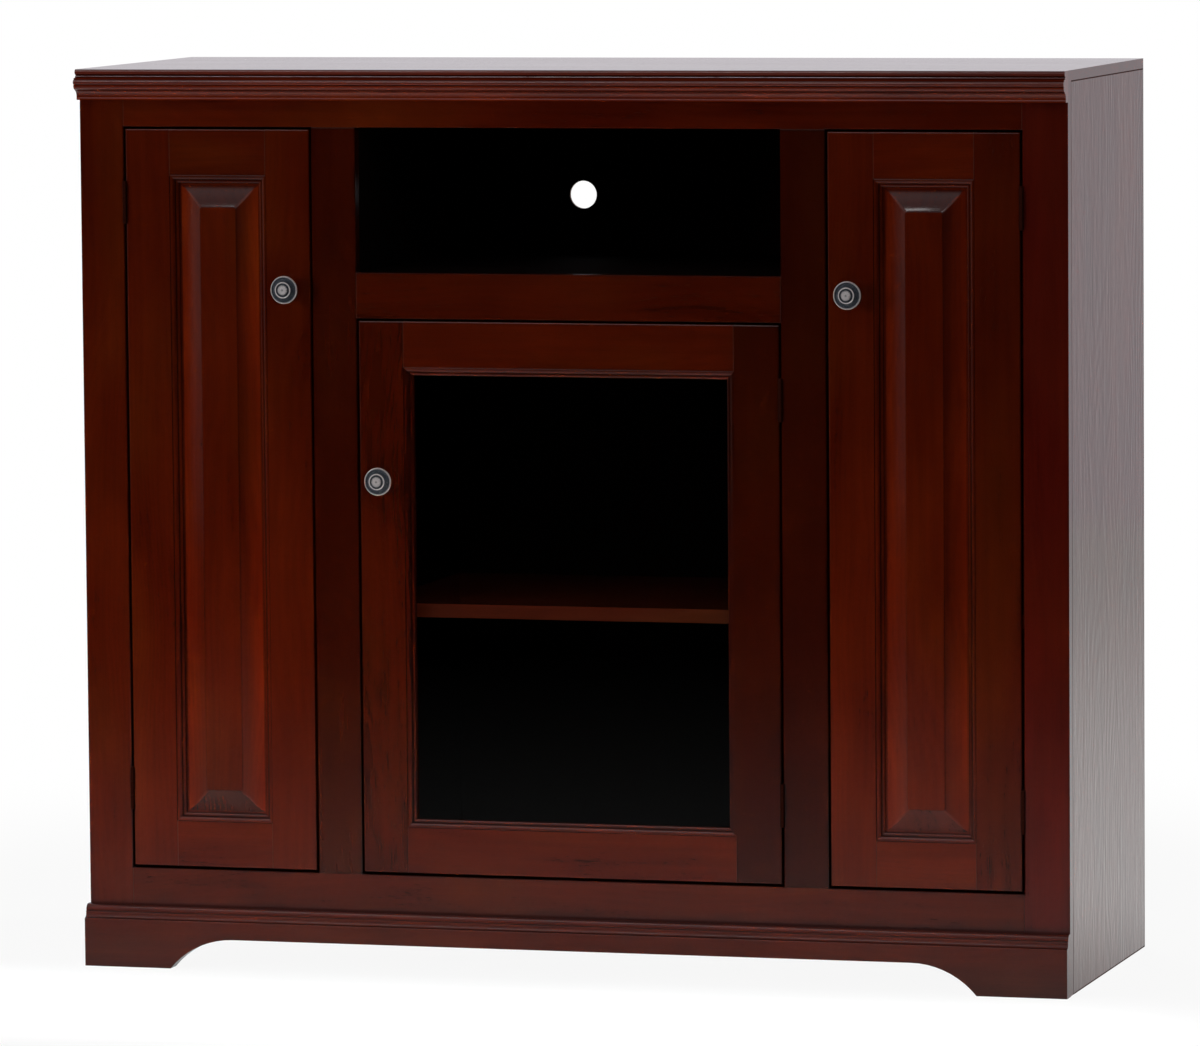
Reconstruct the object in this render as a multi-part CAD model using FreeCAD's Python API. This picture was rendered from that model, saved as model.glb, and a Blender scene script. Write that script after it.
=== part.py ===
import FreeCAD, Part
import math
import os

from FreeCAD import Vector

# A tv armoire: a face-frame cabinet with two raised-panel side doors, one glazed
# centre door and an open media bay over it. Millimetres; X to the right, Y towards
# the back, Z up; the origin is on the floor, under the middle of the whole object.

# ---- Driving dimensions ----------------------------------------------------------

# The case.
overall_width = 1416.0
overall_height = 1264.0
carcase_depth = 487.0
board_thickness = 18.0
top_thickness = 14.0
back_thickness = 6.0
back_rebate_width = 9.0
back_panel_lift = 60.0
housing_depth = 5.0
stretcher_height = 78.0
stretcher_thickness = 19.0
side_edge_chamfer = 0.8
cable_hole_diameter = 40.0
cable_hole_x = -113.5
cable_hole_z = 1067.0

# The face frame and its openings.
frame_thickness = 19.0
outer_stile_width = 63.5
inner_stile_width = 63.5
top_rail_width = 66.5
middle_rail_width = 63.5
bottom_rail_width = 92.0
sill_height = 138.5
side_opening_width = 276.0
media_opening_height = 202.0
frame_edge_chamfer = 1.3

# The crown moulding: nose, cove, bead, ovolo and hollow, from the top down.
crown_height = 43.0
crown_reach = 27.7
crown_nose_height = 8.0
crown_nose_setback = 7.7
crown_cove_height = 3.0
crown_cove_setback = 1.5
crown_undercut_height = 2.5
crown_bead_height = 7.0
crown_ovolo_height = 6.7
crown_ovolo_width = 5.4
crown_ovolo_setback = 1.7
crown_foot_reach = 13.0
crown_quirk = 1.0

# The base board: a moulded cap over a flat face, with a long arch between two feet.
base_height = 87.0
base_reach = 24.0
base_end_overhang = 1.0
base_round_height = 8.5
base_round_width = 7.6
base_hollow_height = 9.0
base_top_reach = 9.0
base_quirk = 1.3
base_edge_radius = 2.0
foot_width = 127.0
arch_height = 43.0
arch_curve_width = 92.0

# The doors: frames with moulded inner edges, round a raised panel or a glass.
door_gap = 3.2
door_bottom_gap = 3.8
door_thickness = 19.0
door_edge_radius = 2.0
door_member_width = 76.0
sticking_width = 12.0
sticking_lip = 10.0
sticking_quirk = 1.0
sticking_lip_height = 1.5
sticking_bead_width = 4.0
sticking_bead_drop = 3.0
groove_width = 6.0
tenon_length = 30.0
tenon_inset = 8.0
tenon_clearance = 0.15
mortise_end_room = 1.0

panel_side_room = 1.0
panel_face_room = 0.2
panel_field_setback = 0.5
panel_field_step = 1.2
panel_bevel_width = 32.0

glass_thickness = 3.0
glass_side_room = 1.0
rebate_width = 10.0
glass_stop_inset = 0.6

# The knobs.
knob_diameter = 39.0
knob_reach = 28.5
knob_neck_diameter = 13.0
knob_rim_thickness = 4.2
knob_rim_setback = 6.4
knob_boss_diameter = 24.0
knob_button_diameter = 15.0
knob_button_rise = 2.0
knob_from_door_top = 222.5

# The butt hinges, whose two leaves fill the gap beside each door.
hinge_length = 60.0
hinge_knuckles = 3
hinge_barrel_diameter = 5.2
hinge_pin_diameter = 2.8
hinge_pin_clearance = 0.05
hinge_leaf_thickness = 1.5
hinge_leaf_depth = 16.0
hinge_axis_proud = 2.0
hinge_knuckle_gap = 0.3
hinge_from_door_top = 103.0
hinge_from_door_bottom = 109.5

# The magnetic catches and their strike plates.
catch_height = 44.0
catch_thickness = 14.0
catch_reach = 15.0
catch_fixing_length = 24.0
catch_air_gap = 0.4
strike_thickness = 1.2
strike_width = 12.0
strike_height = 30.0
strike_edge_inset = 2.0
catch_from_door_top = 62.5

# The shelves behind the doors.
shelf_thickness = 19.0
shelf_rear_room = 2.0
shelf_front_setback = 22.0
centre_shelf_height = 378.5
side_shelf_count = 2

# ---- Planes and levels worked out from them --------------------------------------

half_width = overall_width / 2
front_reach = max(crown_reach, base_reach, knob_reach)
face_y = (front_reach - carcase_depth) / 2
frame_back_y = face_y + frame_thickness
door_back_y = face_y + door_thickness
rear_y = face_y + carcase_depth
back_panel_y = rear_y - back_thickness

top_underside = overall_height - top_thickness
side_inner_x = half_width - board_thickness
outer_edge_x = half_width - outer_stile_width
inner_edge_x = outer_edge_x - side_opening_width
centre_edge_x = inner_edge_x - inner_stile_width
divider_outer_x = centre_edge_x + board_thickness

head_height = top_underside - top_rail_width
middle_rail_top = head_height - media_opening_height
middle_rail_bottom = middle_rail_top - middle_rail_width
bottom_underside = sill_height - board_thickness
centre_shelf_top = sill_height + centre_shelf_height

side_door_x = (inner_edge_x + door_gap, outer_edge_x - door_gap)
side_door_z = (sill_height + door_bottom_gap, head_height - door_gap)
centre_door_x = (door_gap - centre_edge_x, centre_edge_x - door_gap)
centre_door_z = (sill_height + door_bottom_gap, middle_rail_bottom - door_gap)
door_flat_width = door_member_width - sticking_width

side_catch_height = side_door_z[1] - catch_from_door_top
centre_catch_height = centre_door_z[1] - catch_from_door_top

hinge_axis_y = face_y - hinge_axis_proud
side_hinge_x = outer_edge_x - door_gap / 2
centre_hinge_x = centre_edge_x - door_gap / 2

# An arc's rise over its chord, for the two round stretches that mouldings are made of.
QUARTER_ROUND = (math.sqrt(2) - 1) / 2
HALF_ROUND = 0.5


# ---- Shapes that several pieces share --------------------------------------------

def board(x, y, z):
    """A square-edged board between the low and high values of each axis."""
    return Part.makeBox(x[1] - x[0], y[1] - y[0], z[1] - z[0], Vector(x[0], y[0], z[0]))


def mirrored(shape):
    """The same piece on the other side of the cabinet's middle."""
    return shape.mirror(Vector(0, 0, 0), Vector(1, 0, 0))


def edges_on(shape, **planes):
    """Edges that lie wholly in the given planes, such as x=12.0, z=0.0."""
    def lies_on(edge):
        box = edge.BoundBox
        spans = {"x": (box.XMin, box.XMax), "y": (box.YMin, box.YMax), "z": (box.ZMin, box.ZMax)}
        return all(abs(end - value) < 0.01 for axis, value in planes.items() for end in spans[axis])
    return [edge for edge in shape.Edges if lies_on(edge)]


def tangent_round(run, rise):
    """Rise over chord of an arc that leaves its run level and climbs by rise."""
    return math.tan(math.atan2(rise, run) / 2) / 2


def section(path, to_space):
    """A flat face from a closed path of (across, up, bulge) corners.

    bulge is the rise over the chord of the arc that arrives at the corner: 0 is
    straight, and a positive one swells to the left of the way the path runs.
    """
    edges = []
    for (a0, b0, _), (a1, b1, bulge) in zip(path, path[1:] + path[:1]):
        start = to_space(a0, b0)
        end = to_space(a1, b1)
        if bulge:
            middle = to_space((a0 + a1) / 2 - (b1 - b0) * bulge, (b0 + b1) / 2 + (a1 - a0) * bulge)
            edges.append(Part.Arc(start, middle, end).toShape())
        else:
            edges.append(Part.makeLine(start, end))
    return Part.Face(Part.Wire(edges))


def moulding(path, x):
    """A length of moulding along X, from a path of (reach before the face, height)."""
    face = section(path, lambda reach, height: Vector(x[0], face_y - reach, height))
    return face.extrude(Vector(x[1] - x[0], 0, 0))


def turned(path, centre_x, base_y, centre_z):
    """A turned solid on an axis along Y, from a path of (radius, height before base_y)."""
    face = section(path, lambda radius, height: Vector(centre_x + radius, base_y - height, centre_z))
    return face.revolve(Vector(centre_x, base_y, centre_z), Vector(0, 1, 0), 360)


def rod_along_y(radius, x, y, z):
    return Part.makeCylinder(radius, y[1] - y[0], Vector(x, y[0], z), Vector(0, 1, 0))


# ---- Case boards -----------------------------------------------------------------

def bottom_board():
    reach = side_inner_x + housing_depth
    return board((-reach, reach), (frame_back_y, back_panel_y), (bottom_underside, sill_height))


def divider():
    """The right-hand divider's blank, flush with the centre opening."""
    return board((centre_edge_x, divider_outer_x), (frame_back_y, back_panel_y),
                 (sill_height - housing_depth, top_underside))


def housed_divider():
    """The divider, housed for the shelves on both of its sides."""
    return divider().cut([media_shelf(), centre_shelf()] + side_shelves())


def media_shelf():
    reach = centre_edge_x + housing_depth
    return board((-reach, reach), (frame_back_y, back_panel_y),
                 (middle_rail_top - board_thickness, middle_rail_top))


def side_panel():
    """The right-hand side, rebated for the back and housed for the bottom and shelves."""
    side = board((side_inner_x, half_width), (frame_back_y, rear_y), (0, top_underside))
    rebate = board((side_inner_x, side_inner_x + back_rebate_width), (back_panel_y, rear_y),
                   (0, top_underside))
    side = side.makeChamfer(side_edge_chamfer, edges_on(side, x=half_width, y=frame_back_y))
    return side.cut([rebate, bottom_board()] + side_shelves())


def top_board():
    return board((-half_width, half_width), (face_y, rear_y), (top_underside, overall_height))


def back_board():
    reach = side_inner_x + back_rebate_width
    back = board((-reach, reach), (back_panel_y, rear_y), (back_panel_lift, top_underside))
    hole = rod_along_y(cable_hole_diameter / 2, cable_hole_x, (back_panel_y, rear_y), cable_hole_z)
    return back.cut(hole)


def rear_stretcher():
    return board((-side_inner_x, side_inner_x), (back_panel_y - stretcher_thickness, back_panel_y),
                 (bottom_underside - stretcher_height, bottom_underside))


# ---- Shelves ---------------------------------------------------------------------

def shelf(x, top):
    """A shelf that stands back from the face frame and clears the back panel."""
    return board(x, (frame_back_y + shelf_front_setback, back_panel_y - shelf_rear_room),
                 (top - shelf_thickness, top))


def centre_shelf():
    """The shelf behind the glass, housed in both dividers."""
    reach = centre_edge_x + housing_depth
    return shelf((-reach, reach), centre_shelf_top)


def side_shelves():
    """The right-hand bay's shelves, evenly spaced and housed at both ends."""
    ends = (divider_outer_x - housing_depth, side_inner_x + housing_depth)
    clear_height = top_underside - sill_height
    shelves = []
    for number in range(1, side_shelf_count + 1):
        middle = sill_height + clear_height * number / (side_shelf_count + 1)
        shelves.append(shelf(ends, middle + shelf_thickness / 2))
    return shelves


# ---- Face frame ------------------------------------------------------------------

def opening_edge_waste(x, z):
    """What a bevelling cutter takes off the front edge all round an opening."""
    margin = 2 * frame_edge_chamfer
    plate = board((x[0] - margin, x[1] + margin), (face_y, face_y + margin),
                  (z[0] - margin, z[1] + margin))
    ring = plate.cut(board(x, (face_y, face_y + margin), z))
    mouth = edges_on(ring, y=face_y, x=x[0]) + edges_on(ring, y=face_y, x=x[1])
    mouth += edges_on(ring, y=face_y, z=z[0]) + edges_on(ring, y=face_y, z=z[1])
    return ring.cut(ring.makeChamfer(frame_edge_chamfer, mouth))


def frame_pieces():
    """Stiles and rails, butted, with every opening's front edge bevelled."""
    depth = (face_y, frame_back_y)
    outer_stile = board((outer_edge_x, half_width), depth, (0, top_underside))
    inner_stile = board((centre_edge_x, inner_edge_x), depth, (sill_height, head_height))
    blanks = {
        "frame_stile_left": mirrored(outer_stile),
        "frame_stile_right": outer_stile,
        "frame_inner_stile_left": mirrored(inner_stile),
        "frame_inner_stile_right": inner_stile,
        "frame_top_rail": board((-outer_edge_x, outer_edge_x), depth, (head_height, top_underside)),
        "frame_middle_rail": board((-centre_edge_x, centre_edge_x), depth,
                                   (middle_rail_bottom, middle_rail_top)),
        "frame_bottom_rail": board((-outer_edge_x, outer_edge_x), depth,
                                   (sill_height - bottom_rail_width, sill_height)),
    }
    centre_x = (-centre_edge_x, centre_edge_x)
    waste = [
        opening_edge_waste((inner_edge_x, outer_edge_x), (sill_height, head_height)),
        opening_edge_waste((-outer_edge_x, -inner_edge_x), (sill_height, head_height)),
        opening_edge_waste(centre_x, (sill_height, middle_rail_bottom)),
        opening_edge_waste(centre_x, (middle_rail_top, head_height)),
    ]
    return {name: blank.cut(waste) for name, blank in blanks.items()}


# ---- Mouldings on the front ------------------------------------------------------

def crown_moulding():
    nose_root = crown_reach - crown_nose_setback - crown_nose_height / 2
    bead_root = crown_reach - crown_bead_height / 2
    ovolo_reach = crown_reach - crown_ovolo_setback
    ovolo_foot_reach = ovolo_reach - crown_ovolo_width
    nose_foot = overall_height - crown_nose_height
    cove_top = nose_foot - crown_quirk
    cove_foot = cove_top - crown_cove_height
    bead_top = cove_foot - crown_undercut_height
    bead_foot = bead_top - crown_bead_height
    ovolo_top = bead_foot - crown_quirk / 2
    ovolo_foot = ovolo_top - crown_ovolo_height
    crown_foot = overall_height - crown_height
    path = [
        (0, overall_height, 0),
        (nose_root, overall_height, 0),
        (nose_root, nose_foot, HALF_ROUND),
        (nose_root, cove_top, 0),
        (nose_root + crown_quirk, cove_top, 0),
        (bead_root - crown_cove_setback, cove_foot, -QUARTER_ROUND),
        (bead_root, cove_foot, 0),
        (bead_root, bead_top, 0),
        (bead_root, bead_foot, HALF_ROUND),
        (bead_root, ovolo_top, 0),
        (ovolo_reach, ovolo_top, 0),
        (ovolo_foot_reach, ovolo_foot, QUARTER_ROUND),
        (ovolo_foot_reach - crown_quirk, ovolo_foot, 0),
        (ovolo_foot_reach - crown_quirk, ovolo_foot - crown_quirk, 0),
        (crown_foot_reach, crown_foot + 2 * crown_quirk, -QUARTER_ROUND),
        (crown_foot_reach, crown_foot, 0),
        (0, crown_foot, 0),
    ]
    return moulding(path, (-half_width, half_width))


def base_arch():
    """The cut-out between the feet: a low flat arch with a curve down to each foot."""
    foot_x = half_width + base_end_overhang - foot_width
    crest_x = foot_x - arch_curve_width
    bulge = tangent_round(arch_curve_width, arch_height)
    path = [
        (-foot_x, 0, 0),
        (-crest_x, arch_height, bulge),
        (crest_x, arch_height, 0),
        (foot_x, 0, bulge),
    ]
    face = section(path, lambda x, z: Vector(x, face_y - base_reach, z))
    return face.extrude(Vector(0, base_reach, 0))


def base_board():
    end_x = half_width + base_end_overhang
    round_foot = base_height - base_round_height
    hollow_top = round_foot - base_quirk
    hollow_foot = hollow_top - base_hollow_height
    hollow_reach = base_reach - base_edge_radius
    round_reach = base_top_reach + base_round_width
    path = [
        (0, base_height, 0),
        (base_top_reach, base_height, 0),
        (round_reach, round_foot, QUARTER_ROUND),
        (round_reach, hollow_top, 0),
        (round_reach + base_quirk, hollow_top, 0),
        (hollow_reach, hollow_foot, -QUARTER_ROUND),
        (base_reach, hollow_foot - base_edge_radius, QUARTER_ROUND),
        (base_reach, 0, 0),
        (0, 0, 0),
    ]
    return moulding(path, (-end_x, end_x)).cut(base_arch())


# ---- Door frames -----------------------------------------------------------------

def sticking_path():
    """The moulded inner edge of a door member, from its flat to the lip's front corner.

    Across is measured from the member's outer edge, and up is zero at its face.
    """
    bead_edge = door_member_width - sticking_bead_width
    lip_foot = sticking_lip - sticking_lip_height
    bead_top = lip_foot - sticking_bead_drop
    return [
        (0, 0, 0),
        (door_flat_width, 0, 0),
        (door_flat_width, -sticking_quirk, 0),
        (bead_edge - sticking_quirk, sticking_quirk - bead_top, QUARTER_ROUND),
        (bead_edge - sticking_quirk, -bead_top, 0),
        (bead_edge, -bead_top, 0),
        (door_member_width, -lip_foot, QUARTER_ROUND),
        (door_member_width, -sticking_lip, 0),
    ]


def panel_member_path():
    """A member grooved on its inner edge for a raised panel."""
    groove_back = -sticking_lip - groove_width
    return sticking_path() + [
        (door_flat_width, -sticking_lip, 0),
        (door_flat_width, groove_back, 0),
        (door_member_width, groove_back, 0),
        (door_member_width, -door_thickness, 0),
        (0, -door_thickness, 0),
    ]


def glass_member_path():
    """A member rebated from the back for the glass and its stops."""
    rebate_x = door_member_width - rebate_width
    return sticking_path() + [
        (rebate_x, -sticking_lip, 0),
        (rebate_x, -door_thickness, 0),
        (0, -door_thickness, 0),
    ]


def centred_member(path, half_across, half_along):
    """A member that stands to the left of a door centred on the origin, ends square."""
    face = section(path, lambda a, b: Vector(a - half_across, -b, -half_along))
    return face.extrude(Vector(0, 0, 2 * half_along))


def end_waste(half_across, half_along):
    """What the rails displace at the ends of a left stile: a mitre over the moulding."""
    shoulder_x = door_flat_width - half_across
    inner_x = door_member_width - half_across
    beyond = half_along + door_member_width
    corners = [
        (shoulder_x, half_along - door_flat_width),
        (inner_x, half_along - door_member_width),
        (inner_x, beyond),
        (shoulder_x, beyond),
    ]
    wastes = []
    for end in (-1, 1):
        outline = [Vector(x, 0, end * z) for x, z in corners + corners[:1]]
        wastes.append(Part.Face(Part.makePolygon(outline)).extrude(Vector(0, door_thickness, 0)))
    return wastes


def tenon(half_width_of_door, half_height_of_door, room):
    """The tenon at the left end of the bottom rail, or with room, its mortise."""
    shoulder_x = door_flat_width - half_width_of_door
    foot = -half_height_of_door + tenon_inset
    depth = (sticking_lip - room, sticking_lip + groove_width + room)
    end_room = mortise_end_room if room else 0
    return board((shoulder_x - tenon_length - end_room, shoulder_x), depth,
                 (foot - room, foot + door_flat_width - 2 * tenon_inset + room))


def turned_half(shape):
    """The shape after half a turn about the door's centre."""
    copy = shape.copy()
    copy.rotate(Vector(0, 0, 0), Vector(0, 1, 0), 180)
    return copy


def flipped_up(shape):
    return shape.mirror(Vector(0, 0, 0), Vector(0, 0, 1))


def door_frame(path, x, z):
    """Two full-height stiles and two rails tenoned between them, in place."""
    half_w = (x[1] - x[0]) / 2
    half_h = (z[1] - z[0]) / 2
    centre = Vector((x[0] + x[1]) / 2, face_y, (z[0] + z[1]) / 2)

    blank = board((-half_w, half_w), (0, door_thickness), (-half_h, half_h))
    blank = blank.makeFillet(door_edge_radius, edges_on(blank, y=0))

    mortise = tenon(half_w, half_h, tenon_clearance)
    stile = centred_member(path, half_w, half_h)
    stile = stile.cut(end_waste(half_w, half_h) + [mortise, flipped_up(mortise)])

    rail = centred_member(path, half_h, half_w - door_flat_width)
    rail.rotate(Vector(0, 0, 0), Vector(0, 1, 0), -90)
    mitres = centred_member(path, half_w, half_h)
    mitres = mitres.cut(end_waste(half_w, half_h))
    corner = board((door_flat_width - half_w, door_member_width - half_w), (0, door_thickness),
                   (-half_h, door_member_width - half_h))
    waste = corner.cut(end_waste(half_w, half_h))
    rail = rail.cut([waste, mirrored(waste)])
    peg = tenon(half_w, half_h, 0)
    rail = rail.fuse([peg, mirrored(peg)]).removeSplitter()

    pieces = {
        "stile_left": stile,
        "stile_right": turned_half(stile),
        "rail_bottom": rail,
        "rail_top": turned_half(rail),
    }
    placed = {}
    for name, piece in pieces.items():
        placed[name] = piece.common(blank)
        placed[name].translate(centre)
    return placed


def raised_panel(x, z):
    """A panel whose field stands up inside a hollow bevel, tongued into the door."""
    half_w = (x[1] - x[0]) / 2 - door_member_width
    half_h = (z[1] - z[0]) / 2 - door_member_width
    centre = Vector((x[0] + x[1]) / 2, face_y, (z[0] + z[1]) / 2)
    back = -sticking_lip - groove_width
    tongue_front = -sticking_lip - panel_face_room
    field_front = -panel_field_setback
    bevel_top = field_front - panel_field_step
    bulge = -tangent_round(panel_bevel_width, bevel_top - tongue_front)
    tongue_reach = sticking_width - panel_side_room

    def across(half_opening):
        edge = half_opening + tongue_reach
        field = half_opening - panel_bevel_width
        return [
            (-edge, back, 0),
            (-edge, tongue_front, 0),
            (-half_opening, tongue_front, 0),
            (-field, bevel_top, bulge),
            (-field, field_front, 0),
            (field, field_front, 0),
            (field, bevel_top, 0),
            (half_opening, tongue_front, bulge),
            (edge, tongue_front, 0),
            (edge, back, 0),
        ]

    long_z = half_h + tongue_reach
    long_x = half_w + tongue_reach
    upright = section(across(half_w), lambda a, b: Vector(a, -b, -long_z))
    level = section(across(half_h), lambda a, b: Vector(-long_x, -b, a))
    panel = upright.extrude(Vector(0, 0, 2 * long_z)).common(level.extrude(Vector(2 * long_x, 0, 0)))
    panel.translate(centre)
    return panel


def glass_pane(x, z):
    """The glass, lying in the rebate behind the moulded lip."""
    inset = door_member_width - rebate_width + glass_side_room
    front_y = face_y + sticking_lip
    return board((x[0] + inset, x[1] - inset), (front_y, front_y + glass_thickness),
                 (z[0] + inset, z[1] - inset))


def glass_stops(x, z):
    """Four square strips behind the glass that hold it in the rebate."""
    outer = door_member_width - rebate_width
    inner = door_member_width - glass_stop_inset
    depth = (face_y + sticking_lip + glass_thickness, door_back_y)
    left = board((x[0] + outer, x[0] + inner), depth, (z[0] + outer, z[1] - outer))
    right = board((x[1] - inner, x[1] - outer), depth, (z[0] + outer, z[1] - outer))
    bottom = board((x[0] + inner, x[1] - inner), depth, (z[0] + outer, z[0] + inner))
    top = board((x[0] + inner, x[1] - inner), depth, (z[1] - inner, z[1] - outer))
    return Part.makeCompound([left, right, bottom, top])


# ---- Knobs -----------------------------------------------------------------------

def knob(x, z):
    """A cast knob: a round neck, a thin wide rim, and a boss with a button on it."""
    rim = knob_diameter / 2
    rim_front = knob_reach - knob_rim_setback
    rim_back = rim_front - knob_rim_thickness
    boss_front = knob_reach - knob_button_rise
    path = [
        (0, 0, 0),
        (0, knob_reach, 0),
        (knob_button_diameter / 2, knob_reach, 0),
        (knob_button_diameter / 2, boss_front, 0),
        (knob_boss_diameter / 2, boss_front, 0),
        (knob_boss_diameter / 2, rim_front, 0),
        (rim, rim_front, 0),
        (rim, rim_back, 0),
        (knob_neck_diameter / 2, rim_back, 0),
        (knob_neck_diameter / 2, 0, 0),
    ]
    return turned(path, x, face_y, z)


# ---- Hinges ----------------------------------------------------------------------

def hinge_rod(radius, axis_x, low, high):
    return Part.makeCylinder(radius, high - low, Vector(axis_x, hinge_axis_y, low))


def hinge_pin(radius, axis_x, centre_z):
    """The pin, flush with both ends of the barrel; a larger radius makes its bore."""
    reach = (hinge_length - hinge_knuckle_gap) / 2
    return hinge_rod(radius, axis_x, centre_z - reach, centre_z + reach)


def hinge_leaf(axis_x, side, centre_z, knuckle_numbers):
    """One leaf with its knuckles; side is the way from the pin to the leaf along X."""
    radius = hinge_barrel_diameter / 2
    bottom = centre_z - hinge_length / 2
    pitch = hinge_length / hinge_knuckles
    face_x = axis_x + side * door_gap / 2
    plate_x = sorted((face_x - side * hinge_leaf_thickness, face_x))
    plate_front = hinge_axis_y + radius + hinge_knuckle_gap
    leaf = board(plate_x, (plate_front, face_y + hinge_leaf_depth), (bottom, bottom + hinge_length))
    knuckles = []
    for number in knuckle_numbers:
        low = bottom + number * pitch + hinge_knuckle_gap / 2
        high = low + pitch - hinge_knuckle_gap
        knuckles.append(board(plate_x, (hinge_axis_y, plate_front), (low, high)))
        knuckles.append(hinge_rod(radius, axis_x, low, high))
    return leaf.fuse(knuckles)


def hinge_heights(door_z):
    return (door_z[0] + hinge_from_door_bottom, door_z[1] - hinge_from_door_top)


frame_knuckles = range(0, hinge_knuckles, 2)
door_knuckles = range(1, hinge_knuckles, 2)

# Each door's hinge line, and the way from it to the frame: +1 is to the right.
hinge_lines = {
    "left_door": (-side_hinge_x, -1, side_door_z),
    "right_door": (side_hinge_x, 1, side_door_z),
    "centre_door": (centre_hinge_x, 1, centre_door_z),
}


def door_hinge_leaves(door):
    """The door's leaves, whose middle knuckle is bored for the pin."""
    axis_x, frame_side, door_z = hinge_lines[door]
    bore_radius = hinge_pin_diameter / 2 + hinge_pin_clearance
    leaves = []
    for z in hinge_heights(door_z):
        leaf = hinge_leaf(axis_x, -frame_side, z, door_knuckles)
        leaves.append(leaf.cut(hinge_pin(bore_radius, axis_x, z)).removeSplitter())
    return Part.makeCompound(leaves)


def frame_hinge_leaves():
    """The frame's leaves, whose outer knuckles hold the riveted pin."""
    leaves = []
    for axis_x, frame_side, door_z in hinge_lines.values():
        for z in hinge_heights(door_z):
            leaf = hinge_leaf(axis_x, frame_side, z, frame_knuckles)
            leaves.append(leaf.fuse(hinge_pin(hinge_pin_diameter / 2, axis_x, z)).removeSplitter())
    return Part.makeCompound(leaves)


# ---- Catches ---------------------------------------------------------------------

def side_catch():
    """The right-hand catch: fixed behind the inner stile, reaching behind the door."""
    z = (side_catch_height - catch_height / 2, side_catch_height + catch_height / 2)
    depth = (frame_back_y, frame_back_y + catch_thickness)
    body = board((inner_edge_x - catch_fixing_length, inner_edge_x + catch_reach), depth, z)
    relief_y = door_back_y + strike_thickness + catch_air_gap
    relief = board((inner_edge_x, inner_edge_x + catch_reach), (frame_back_y, relief_y), z)
    return body.cut(relief)


def centre_catch():
    """The centre catch: fixed to the left divider, just behind the door's free edge."""
    front_y = door_back_y + strike_thickness + catch_air_gap
    return board((-centre_edge_x, catch_reach - centre_edge_x), (front_y, front_y + catch_fixing_length),
                 (centre_catch_height - catch_height / 2, centre_catch_height + catch_height / 2))


def strike_plate(free_edge_x, height):
    """The steel plate on a door's back, beside its free edge at the left."""
    near = free_edge_x + strike_edge_inset
    return board((near, near + strike_width), (door_back_y, door_back_y + strike_thickness),
                 (height - strike_height / 2, height + strike_height / 2))


# ---- Whole doors -----------------------------------------------------------------

def knob_place(door_x, door_z):
    """The middle of the flat of the pull stile, which is each door's left one."""
    return door_x[0] + door_flat_width / 2, door_z[1] - knob_from_door_top


def side_door_pieces():
    """The right-hand door: hinged at its outer edge, with its knob at the inner one."""
    pieces = door_frame(panel_member_path(), side_door_x, side_door_z)
    return {
        "pull_stile": pieces["stile_left"],
        "hinge_stile": pieces["stile_right"],
        "top_rail": pieces["rail_top"],
        "bottom_rail": pieces["rail_bottom"],
        "panel": raised_panel(side_door_x, side_door_z),
        "knob": knob(*knob_place(side_door_x, side_door_z)),
        "strike_plate": strike_plate(side_door_x[0], side_catch_height),
    }


def centre_door_pieces():
    """The glazed door: hinged at the right, with its knob at the left."""
    pieces = door_frame(glass_member_path(), centre_door_x, centre_door_z)
    return {
        "pull_stile": pieces["stile_left"],
        "hinge_stile": pieces["stile_right"],
        "top_rail": pieces["rail_top"],
        "bottom_rail": pieces["rail_bottom"],
        "glass": glass_pane(centre_door_x, centre_door_z),
        "glass_stops": glass_stops(centre_door_x, centre_door_z),
        "knob": knob(*knob_place(centre_door_x, centre_door_z)),
        "strike_plate": strike_plate(centre_door_x[0], centre_catch_height),
    }


# ---- The assembly ----------------------------------------------------------------

def carcase_pieces():
    side = side_panel()
    upright = housed_divider()
    catch = side_catch()
    pieces = {
        "side_panel_left": mirrored(side),
        "side_panel_right": side,
        "divider_left": mirrored(upright),
        "divider_right": upright,
        "bottom_panel": bottom_board().cut([divider(), mirrored(divider())]),
        "media_shelf": media_shelf(),
        "top_panel": top_board(),
        "back_panel": back_board(),
        "rear_stretcher": rear_stretcher(),
        "crown_moulding": crown_moulding(),
        "base_board": base_board(),
        "centre_shelf": centre_shelf(),
        "frame_hinge_leaves": frame_hinge_leaves(),
        "left_catch": mirrored(catch),
        "right_catch": catch,
        "centre_catch": centre_catch(),
    }
    for number, plank in enumerate(side_shelves(), start=1):
        pieces[f"left_shelf_{number}"] = mirrored(plank)
        pieces[f"right_shelf_{number}"] = plank
    pieces.update(frame_pieces())
    return pieces


def all_pieces():
    pieces = carcase_pieces()
    for name, shape in side_door_pieces().items():
        pieces["right_door_" + name] = shape
        pieces["left_door_" + name] = mirrored(shape)
    for name, shape in centre_door_pieces().items():
        pieces["centre_door_" + name] = shape
    for door in hinge_lines:
        pieces[door + "_hinge_leaves"] = door_hinge_leaves(door)
    return pieces


os.makedirs("parts", exist_ok=True)
for node, shape in all_pieces().items():
    shape.exportStep(f"parts/{node}.step")
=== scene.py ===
import math

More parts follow.
